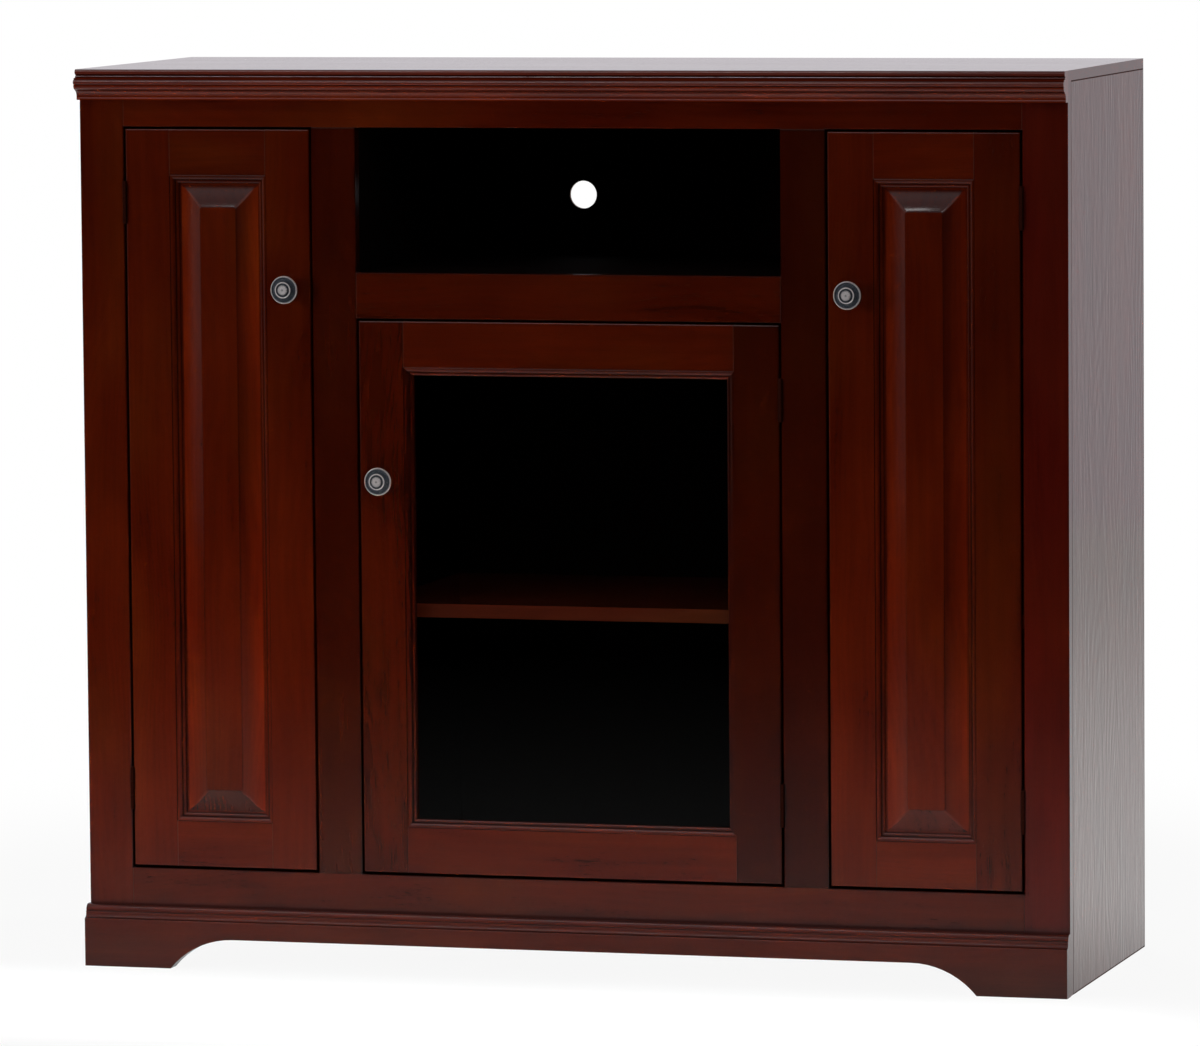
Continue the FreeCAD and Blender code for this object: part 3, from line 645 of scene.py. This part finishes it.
def nail_rows():
    """Edges along the case's sides, top, bottom and dividers, where the sheet is nailed."""
    shape = bmesh.new()
    low_z = back_low.z + nail_inset
    high_z = back_high.z - nail_inset
    side_x = back_high.x - nail_inset
    divider_x = sum(corner.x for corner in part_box("divider_right")) / 2
    bottom_z = sum(corner.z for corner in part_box("bottom_panel")) / 2
    shelf_z = sum(corner.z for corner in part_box("media_shelf")) / 2
    rows = [((x, low_z), (x, high_z)) for x in (-side_x, -divider_x, divider_x, side_x)]
    rows += [((-side_x + nail_spacing / 2, z), (side_x - nail_spacing / 2, z)) for z in (bottom_z, high_z)]
    rows.append(((-divider_x + nail_spacing, shelf_z), (divider_x - nail_spacing, shelf_z)))
    for ends in rows:
        shape.edges.new([shape.verts.new((x, back_face_y, z)) for x, z in ends])
    mesh = bpy.data.meshes.new("nail rows")
    shape.to_mesh(mesh)
    shape.free()
    return mesh


nail_steel = metal_finish("nail steel", bright=(0.34, 0.33, 0.32, 1.0), dull=(0.10, 0.085, 0.075, 1.0),
                          polish=0.55)
back = back_sheet("nailed_back_sheet")
nails = grown_piece("back_nails", nail_rows(), build_nail_rows(),
                    {"Spacing": nail_spacing, "Wander": nail_wander, "Head radius": nail_head_radius,
                     "Head taper": nail_head_taper, "Head rise": nail_head_rise, "Metal": nail_steel})
for piece, slot in ((back, "back_plywood"), (nails, "plated_steel")):
    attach(piece, "carcase")
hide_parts("back_panel")


# ---- Face frame ------------------------------------------------------------------
# Solid stiles and rails, butted and glued, sanded flush and bevelled round each opening.
# A fine line shows at each butt joint, at the end of the piece that stops there.

crimson_stain = ((0.088, 0.0058, 0.0022, 1.0), (0.040, 0.0018, 0.0006, 1.0))

finish_boards(("frame_stile_left",), "Z", tone=0.86)
finish_boards(("frame_stile_right",), "Z", stain=crimson_stain, tone=0.84)
finish_boards(("frame_inner_stile_left",), "Z", tone=0.48, seams="Z")
finish_boards(("frame_inner_stile_right",), "Z", tone=0.38, seams="Z")
finish_boards(("frame_top_rail",), "X", tone=0.95, seams="X")
finish_boards(("frame_middle_rail",), "X", tone=0.75, seams="X")
finish_boards(("frame_bottom_rail",), "X", tone=0.80, seams="X")


# ---- Crown and base --------------------------------------------------------------
# Two lengths of moulded cherry: the crown under the top's front edge, and the base with
# its moulded cap and the long arch between the feet.

finish_boards(("crown_moulding",), "X", tone=1.9, gloss=0.75, moulded=True)
finish_boards(("base_board",), "X", tone=0.88, gloss=0.45, moulded=True)


# ---- Door frames -----------------------------------------------------------------
# Stiles run full height and the rails are tenoned between them, with the moulded inner
# edge mitred at the corners. The rails' shoulders show as fine upright lines.

door_flat_width = 0.064
door_tones = {
    "left_door": {"pull_stile": 0.90, "hinge_stile": 0.88, "top_rail": 0.80, "bottom_rail": 0.86},
    "right_door": {"pull_stile": 0.92, "hinge_stile": 0.72, "top_rail": 1.05, "bottom_rail": 1.0},
    "centre_door": {"pull_stile": 0.62, "hinge_stile": 0.42, "top_rail": 0.85, "bottom_rail": 0.85},
}
doors = tuple(door_tones)

for door, tones in door_tones.items():
    stiles = [corner.x for part in ("_pull_stile", "_hinge_stile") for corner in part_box(door + part)]
    shoulder = (max(stiles) - min(stiles)) / 2 - door_flat_width
    for part, tone in tones.items():
        if part.endswith("stile"):
            finish_boards((door + "_" + part,), "Z", tone=tone, moulded=True)
        else:
            finish_boards((door + "_" + part,), "X", tone=tone, half_length=shoulder, moulded=True)


# ---- Raised panels ---------------------------------------------------------------
# A solid cherry panel stands loose in each side door: a field raised by a small step over
# a wide hollow bevel. The bevels are cut with a round cutter and sanded at each arris.

panel_tongue_width = 0.011
panel_tongue_depth = 0.0102
panel_tongue_radius = 0.0009
panel_back_depth = 0.0160
panel_bevel_width = 0.032
panel_hollow_radius = 0.0645
panel_hollow_steps = 12
panel_field_arris = ((0.0001, 0.0011), (0.0004, 0.0007), (0.0009, 0.00053), (0.0015, 0.0005))
panel_mitre_radius = 0.0030
panel_mitre_steps = 4
bevel_facing = 0.5
bevel_slope = 0.03
panel_tones = {"left_door": 0.91, "right_door": 1.04}
# Painted light and shade on the bevels: the side bevels grow lighter towards their outer edge, most on the
# left door, and the top and bottom bevels are darker.
side_bevel_painted_light = {"left_door": (0.92, 2.05), "right_door": (0.92, 1.6)}
end_bevel_painted_shade = (0.66, 0.66)
face_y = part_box("frame_top_rail")[0].y


def panel_profile():
    """(inset, depth behind the doors' face) from the back's edge round to the field."""
    profile = [(0.0, panel_back_depth), (0.0, panel_tongue_depth), (panel_tongue_width, panel_tongue_depth)]
    for step in range(1, panel_hollow_steps + 1):
        run = panel_bevel_width * step / panel_hollow_steps
        rise = panel_hollow_radius - math.sqrt(panel_hollow_radius ** 2 - run ** 2)
        profile.append((panel_tongue_width + run, panel_tongue_depth - rise))
    foot = panel_tongue_width + panel_bevel_width
    return profile + [(foot + run, depth) for run, depth in panel_field_arris]


def rounded_rectangle(shape, low, high, inset, y, radius):
    """A ring of vertices at depth y, inset from the low and high corners, rounded by radius."""
    ring = []
    corners = ((low.x, low.z, 1, 1), (high.x, low.z, -1, 1),
               (high.x, high.z, -1, -1), (low.x, high.z, 1, -1))
    for number, (x, z, way_x, way_z) in enumerate(corners):
        centre_x = x + way_x * (inset + radius)
        centre_z = z + way_z * (inset + radius)
        for step in range(panel_mitre_steps + 1):
            angle = math.pi + (number + step / panel_mitre_steps) * math.pi / 2
            ring.append(shape.verts.new((centre_x + radius * math.cos(angle), y,
                                         centre_z + radius * math.sin(angle))))
    return ring


def bevel_painted_light(wood, name, tone, shares):
    """The panel's own wood on a bevel, with painted light and shade: its tone runs from the inner share to
    the outer one.
    """
    material = wood.copy()
    material.name = name
    tree = material.node_tree
    across = add_node(tree, "ShaderNodeAttribute", attribute_name="outwards")
    tones = add_node(tree, "ShaderNodeMapRange",
                     {"Value": across.outputs["Fac"], "To Min": tone * shares[0], "To Max": tone * shares[1]})
    tree.links.new(tones.outputs["Result"], tree.nodes["grain"].inputs["Tone"])
    return material


def raised_panel(name, node, tone, side_painted_light):
    """The panel, whose bevels' faces take its wood with painted light and shade of their own. The
    attribute outwards rises from 0 at the field to 1 at the bevels' outer edge."""
    low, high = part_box(node)
    shape = bmesh.new()
    outwards = shape.verts.layers.float.new("outwards")
    rings = []
    for inset, depth in panel_profile():
        radius = panel_tongue_radius if inset < panel_tongue_width else panel_mitre_radius
        ring = rounded_rectangle(shape, low, high, inset, face_y + depth, radius)
        for vertex in ring:
            vertex[outwards] = 1.0 - (inset - panel_tongue_width) / panel_bevel_width
        rings.append(ring)
    for outer, inner in zip(rings, rings[1:]):
        wall(shape, outer, inner)
    shape.faces.new(rings[-1])
    shape.faces.new(rings[0])
    bmesh.ops.recalc_face_normals(shape, faces=shape.faces)
    shape.normal_update()
    for face in shape.faces:
        if face.normal.y < -bevel_facing and abs(face.normal.x) > bevel_slope:
            face.material_index = 1
        elif face.normal.y < -bevel_facing and abs(face.normal.z) > bevel_slope:
            face.material_index = 2
    wood = stained_board(name, (low, high), "Z", tone=tone)
    finishes = [wood, bevel_painted_light(wood, name + " side bevels", tone, side_painted_light),
                bevel_painted_light(wood, name + " end bevels", tone, end_bevel_painted_shade)]
    return mesh_piece(name, shape, finishes)


for door, tone in panel_tones.items():
    panel = raised_panel(door + "_raised_panel", door + "_panel", tone, side_bevel_painted_light[door])
    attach(panel, door)
    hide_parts(door + "_panel")


# ---- Glass -----------------------------------------------------------------------
# Clear float glass stands in the centre door's rebate, behind the moulding, and is held
# there by square stops.

glass_tint = (0.93, 0.97, 0.95, 1.0)
glass_index = 1.2

clear_glass = blank_material("clear glass")
tree = clear_glass.node_tree
glass_surface = add_node(tree, "ShaderNodeBsdfPrincipled",
                         {"Base Color": glass_tint, "Transmission Weight": 1.0, "Roughness": 0.0,
                          "IOR": glass_index})
add_node(tree, "ShaderNodeOutputMaterial", {"Surface": glass_surface.outputs[0]})
finish_node("centre_door_glass", clear_glass)
finish_boards(("centre_door_glass_stops",), "X")


# ---- Knobs -----------------------------------------------------------------------
# Cast pewter, turned and blackened, then rubbed bright on the rim, ring and button, whose brightness
# is partly painted highlight. One screw through the stile holds each.

# The profile gives radius and height over the door's face, and each bright place its radius,
# height, width and share of rubbing and painted highlight. These are in millimetres.
millimetres_per_metre = 1000
knob_profile = (
    (0.0, 0.0), (9.0, 0.0), (9.0, 1.2), (7.4, 2.4), (6.4, 4.6), (6.1, 8.0), (6.6, 11.4), (8.6, 14.4),
    (12.2, 16.6), (16.4, 17.6), (18.5, 18.2), (19.3, 19.2), (19.5, 20.2), (19.2, 21.2), (18.5, 21.9),
    (17.7, 22.0), (17.1, 21.6), (16.6, 20.9), (15.9, 20.6), (15.0, 20.9), (13.6, 22.2), (12.4, 23.9),
    (11.7, 25.5), (11.2, 26.4), (10.6, 26.8), (9.9, 26.7), (9.3, 26.1), (8.8, 25.2), (8.2, 25.0),
    (7.7, 25.6), (7.5, 26.6), (7.0, 27.5), (5.9, 28.1), (4.2, 28.4), (2.2, 28.5), (0.0, 28.5),
)
knob_rubbed_highlight_places = ((18.9, 20.9, 1.25, 0.95), (10.7, 26.8, 0.85, 0.95), (3.8, 28.4, 2.7, 0.62))
knob_bright_reach = 1.6
knob_sides = 64


def knob_rubbing_and_highlight(radius, height):
    """The share of rubbing and painted highlight at a point of the profile: most at the bright places, 0 in
    the grooves.
    """
    return max(share * max(0.0, min(1.0, knob_bright_reach - math.hypot(radius - r, height - h) / width))
               for r, h, width, share in knob_rubbed_highlight_places)


def turned_knob(name, node, material):
    """A knob turned from the profile, centred on the CAD knob."""
    low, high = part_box(node)
    centre = Vector(((low.x + high.x) / 2, face_y, (low.z + high.z) / 2))
    shape = bmesh.new()
    polish = shape.verts.layers.float.new("polish")
    rings = []
    for radius, height in knob_profile:
        count = 1 if radius == 0.0 else knob_sides
        ring = []
        for index in range(count):
            angle = 2 * math.pi * index / count
            offset = Vector((radius * math.cos(angle), -height, radius * math.sin(angle)))
            vertex = shape.verts.new(centre + offset / millimetres_per_metre)
            vertex[polish] = knob_rubbing_and_highlight(radius, height)
            ring.append(vertex)
        rings.append(ring)
    for lower, upper in zip(rings, rings[1:]):
        for index in range(knob_sides):
            following = (index + 1) % knob_sides
            if len(lower) == 1:
                shape.faces.new((lower[0], upper[following], upper[index]))
            elif len(upper) == 1:
                shape.faces.new((lower[index], lower[following], upper[0]))
            else:
                shape.faces.new((lower[index], lower[following], upper[following], upper[index]))
    bmesh.ops.recalc_face_normals(shape, faces=shape.faces)
    return mesh_piece(name, shape, [material])


# A pale colour with little metallic, so the bright places are painted highlight as well as wear.
pewter = metal_finish("antique pewter", bright=(0.86, 0.80, 0.79, 1.0), dull=(0.026, 0.036, 0.049, 1.0),
                      polish=0.42, rubbed="polish", metallic=0.40, relief=0.0001)

for door in doors:
    knob = turned_knob(door + "_pewter_knob", door + "_knob", pewter)
    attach(knob, door)
    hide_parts(door + "_knob")


# ---- Hinges ----------------------------------------------------------------------
# Butt hinges of brass under a dark red-brown finish, with their leaves fixed flat in the
# doors' side gaps. Each leaf has three countersunk cross-head screws, nearly flush.

antique_brass = metal_finish("antique brass", bright=(0.096, 0.021, 0.011, 1.0),
                             dull=(0.026, 0.006, 0.004, 1.0), polish=0.42, rubbed=0.3)
# Near black for the screws' cross recesses: painted shade.
recess_painted_shade = metal_finish("recess painted shade", bright=(0.020, 0.018, 0.016, 1.0),
                           dull=(0.008, 0.007, 0.006, 1.0), polish=0.2)
for node in [door + "_hinge_leaves" for door in doors] + ["frame_hinge_leaves"]:
    finish_node(node, antique_brass)

recess_sizes = {"Recess width": 0.24, "Recess length": 1.15, "Recess floor": 0.35}
dome_segments = 24
dome_rings = 12
inside_dome = 0.95
screw_seed = 3


def build_cross_head_screws():
    """A screw head with a cross recess at each point, facing and sized by the points' attributes.
    It is cut from a dome of radius 1, so the recess's sizes are shares of the head's."""
    tree, given = new_group("Cross head screws", "GeometryNodeTree", {
        "Places": "NodeSocketGeometry",
        "Recess width": "NodeSocketFloat",
        "Recess length": "NodeSocketFloat",
        "Recess floor": "NodeSocketFloat",
        "Metal": "NodeSocketMaterial",
        "Recess painted shade": "NodeSocketMaterial",
    }, {"Screws": "NodeSocketGeometry"})

    def attribute(name, kind):
        return add_node(tree, "GeometryNodeInputNamedAttribute", {"Name": name}, data_type=kind).outputs[0]

    dome = add_node(tree, "GeometryNodeMeshUVSphere",
                    {"Segments": dome_segments, "Rings": dome_rings, "Radius": 1.0})
    raised = add_node(tree, "ShaderNodeCombineXYZ", {"Z": add_math(tree, "ADD", given["Recess floor"], 1.0)})
    head = add_node(tree, "GeometryNodeMeshBoolean", {"Mesh 1": dome.outputs["Mesh"]}, operation="DIFFERENCE")
    for width, length in (("Recess width", "Recess length"), ("Recess length", "Recess width")):
        size = add_node(tree, "ShaderNodeCombineXYZ", {"X": given[width], "Y": given[length], "Z": 2.0})
        bar = add_node(tree, "GeometryNodeMeshCube", {"Size": size.outputs[0]})
        cutter = add_node(tree, "GeometryNodeTransform",
                          {"Geometry": bar.outputs["Mesh"], "Translation": raised.outputs[0]})
        tree.links.new(cutter.outputs[0], head.inputs["Mesh 2"])
    from_middle = add_vector_math(tree, "LENGTH", add_node(tree, "GeometryNodeInputPosition").outputs[0])
    cut_away = add_math(tree, "LESS_THAN", from_middle, inside_dome)
    marked = add_node(tree, "GeometryNodeStoreNamedAttribute",
                      {"Geometry": head.outputs["Mesh"], "Name": "recess", "Value": cut_away},
                      data_type="FLOAT", domain="FACE")
    facing = attribute("facing", "FLOAT_VECTOR")
    towards = add_node(tree, "FunctionNodeAlignRotationToVector", {"Vector": facing}, axis="Z")
    spin = add_node(tree, "FunctionNodeRandomValue",
                    {"Min": 0.0, "Max": math.pi / 2, "Seed": screw_seed}, data_type="FLOAT")
    turn = add_node(tree, "FunctionNodeAxisAngleToRotation",
                    {"Axis": (0.0, 0.0, 1.0), "Angle": spin.outputs[1]})
    rotation = add_node(tree, "FunctionNodeRotateRotation",
                        {"Rotation": towards.outputs[0], "Rotate By": turn.outputs[0]},
                        rotation_space="LOCAL")
    screws = add_node(tree, "GeometryNodeInstanceOnPoints",
                      {"Points": given["Places"], "Instance": marked.outputs[0],
                       "Rotation": rotation.outputs[0], "Scale": attribute("head size", "FLOAT_VECTOR")})
    solid = add_node(tree, "GeometryNodeRealizeInstances", {0: screws.outputs[0]})
    metal = add_node(tree, "GeometryNodeSetMaterial",
                     {"Geometry": solid.outputs[0], "Material": given["Metal"]})
    # The recess's faces take the near-black painted shade.
    is_recess = add_math(tree, "GREATER_THAN", attribute("recess", "FLOAT"), 0.5)
    finished = add_node(tree, "GeometryNodeSetMaterial",
                        {"Geometry": metal.outputs[0], "Selection": is_recess,
                         "Material": given["Recess painted shade"]})
    add_node(tree, "NodeGroupOutput", {0: finished.outputs[0]})
    return tree


cross_head_screws = build_cross_head_screws()


def screws_piece(name, body, metal, screws):
    """Screw heads of one finish on one body, each given as place, way it faces, radius and rise."""
    starts = bpy.data.meshes.new(name + " places")
    starts.from_pydata([place for place, facing, radius, rise in screws], [], [])
    facings = starts.attributes.new("facing", "FLOAT_VECTOR", "POINT")
    sizes = starts.attributes.new("head size", "FLOAT_VECTOR", "POINT")
    for index, (place, facing, radius, rise) in enumerate(screws):
        facings.data[index].vector = facing
        sizes.data[index].vector = (radius, radius, rise)
    piece = grown_piece(name, starts, cross_head_screws,
                        {**recess_sizes, "Metal": metal, "Recess painted shade": recess_painted_shade})
    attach(piece, body)


leaf_screw_radius = 0.0031
leaf_screw_rise = 0.00009
leaf_screw_steps = ((-0.021, 0.0012), (0.0, -0.0022), (0.021, 0.0012))
leaf_middle_y = face_y + 0.0066
leaf_thickness = 0.0015
hinge_half_height = 0.030
half_side_gap = 0.0016
frame_sides = {"left_door": -1, "right_door": 1, "centre_door": 1}


def leaf_screws(gap_middle_x, frame_side, hinge_middles, on_frame):
    """The screws of one hinge line's leaves, on the frame or on the door."""
    way = frame_side if on_frame else -frame_side
    x = gap_middle_x + way * (half_side_gap - leaf_thickness)
    return [((x, leaf_middle_y + step_y, middle + step_z), (-way, 0.0, 0.0),
             leaf_screw_radius, leaf_screw_rise)
            for middle in hinge_middles for step_z, step_y in leaf_screw_steps]


frame_screws = []
for door, frame_side in frame_sides.items():
    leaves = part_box(door + "_hinge_leaves")
    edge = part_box(door + "_hinge_stile")[1 if frame_side > 0 else 0].x
    gap_middle_x = edge + frame_side * half_side_gap
    middles = (leaves[0].z + hinge_half_height, leaves[1].z - hinge_half_height)
    frame_screws += leaf_screws(gap_middle_x, frame_side, middles, True)
    screws_piece(door + "_hinge_screws", door, antique_brass,
                 leaf_screws(gap_middle_x, frame_side, middles, False))
screws_piece("frame_hinge_screws", "carcase", antique_brass, frame_screws)


# ---- Strikes and catches ---------------------------------------------------------
# Each door has a zinc-plated strike screwed to its back, which meets a magnetic catch of
# brown moulded plastic with two steel pole plates. Another screw holds the knob.

plated = metal_finish("plated steel", bright=(0.58, 0.57, 0.54, 1.0), dull=(0.36, 0.35, 0.32, 1.0),
                      polish=0.72)
# The heads of these screws are given as radius and rise.
strike_screw = (0.0024, 0.0001)
knob_screw = (0.0045, 0.0020)
catch_screw = (0.0034, 0.0014)
strike_screw_reach = 0.009
catch_screw_reach = 0.014
catch_screw_from_back = 0.008
catch_screw_from_side = 0.010
catch_gap = 0.0004
catch_doors = {"left_catch": "left_door", "right_catch": "right_door", "centre_catch": "centre_door"}
pole_size = (0.0016, 0.0009, 0.034)
pole_rise = 0.0001
pole_spread = 0.0029
pole_arris = 0.00015
straight_back = (0.0, 1.0, 0.0)
rightwards = (1.0, 0.0, 0.0)

for door in doors:
    finish_node(door + "_strike_plate", plated)
    low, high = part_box(door + "_strike_plate")
    middle = (low + high) / 2
    knob_low, knob_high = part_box(door + "_knob")
    knob_middle = (knob_low + knob_high) / 2
    back_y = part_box(door + "_pull_stile")[1].y
    screws = [((middle.x, high.y, middle.z + way * strike_screw_reach), straight_back, *strike_screw)
              for way in (-1, 1)]
    screws.append(((knob_middle.x, back_y, knob_middle.z), straight_back, *knob_screw))
    screws_piece(door + "_steel_screws", door, plated, screws)

plastic_dark = (0.030, 0.017, 0.011, 1.0)
plastic_pale = (0.055, 0.032, 0.021, 1.0)
plastic_pit_depth = 0.00005

plastic = blank_material("brown plastic")
tree = plastic.node_tree
place = add_node(tree, "ShaderNodeTexCoord").outputs["Object"]
pits = add_node(tree, "ShaderNodeTexNoise", {"Vector": place, "Scale": 1800.0, "Detail": 3.0}).outputs["Fac"]
clouds = add_node(tree, "ShaderNodeTexNoise", {"Vector": place, "Scale": 60.0, "Detail": 2.0}).outputs["Fac"]
plastic_bump = add_node(tree, "ShaderNodeBump",
                        {"Height": pits, "Distance": plastic_pit_depth, "Strength": 0.7})
plastic_surface = add_node(tree, "ShaderNodeBsdfPrincipled",
                           {"Base Color": add_color_mix(tree, clouds, plastic_dark, plastic_pale),
                            "Normal": plastic_bump.outputs[0],
                            "Roughness": add_math(tree, "MULTIPLY_ADD", pits, 0.15, 0.40)})
add_node(tree, "ShaderNodeOutputMaterial", {"Surface": plastic_surface.outputs[0]})
for catch in catch_doors:
    finish_node(catch, plastic)


def pole_plates(name, contacts):
    """Two upright steel plates on each catch's contact face, a little proud of it."""
    shape = bmesh.new()
    for middle_x, contact_y, middle_z in contacts:
        for way in (-1, 1):
            plate = bmesh.ops.create_cube(shape, size=1.0)["verts"]
            for vertex in plate:
                offset = Vector([part * size for part, size in zip(vertex.co, pole_size)])
                vertex.co = offset + Vector((middle_x + way * pole_spread,
                                             contact_y - pole_rise + pole_size[1] / 2, middle_z))
    bmesh.ops.bevel(shape, geom=list(shape.edges), offset=pole_arris, segments=2, affect="EDGES",
                    clamp_overlap=True)
    bmesh.ops.recalc_face_normals(shape, faces=shape.faces)
    return mesh_piece(name, shape, [plated])


contacts = []
catch_screws = []
for catch, door in catch_doors.items():
    strike_low, strike_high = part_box(door + "_strike_plate")
    low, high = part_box(catch)
    middle_z = (low.z + high.z) / 2
    contacts.append(((strike_low.x + strike_high.x) / 2, strike_high.y + catch_gap, middle_z))
    for way in (-1, 1):
        z = middle_z + way * catch_screw_reach
        if catch == "centre_catch":
            catch_screws.append(((high.x, high.y - catch_screw_from_back, z), rightwards, *catch_screw))
        else:
            inner_x = min(abs(low.x), abs(high.x)) + catch_screw_from_side
            catch_screws.append(((math.copysign(inner_x, low.x), high.y, z), straight_back, *catch_screw))

poles = pole_plates("catch_poles", contacts)
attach(poles, "carcase")
screws_piece("catch_screws", "carcase", plated, catch_screws)


# ---- Last update -----------------------------------------------------------------

bpy.context.view_layer.update()
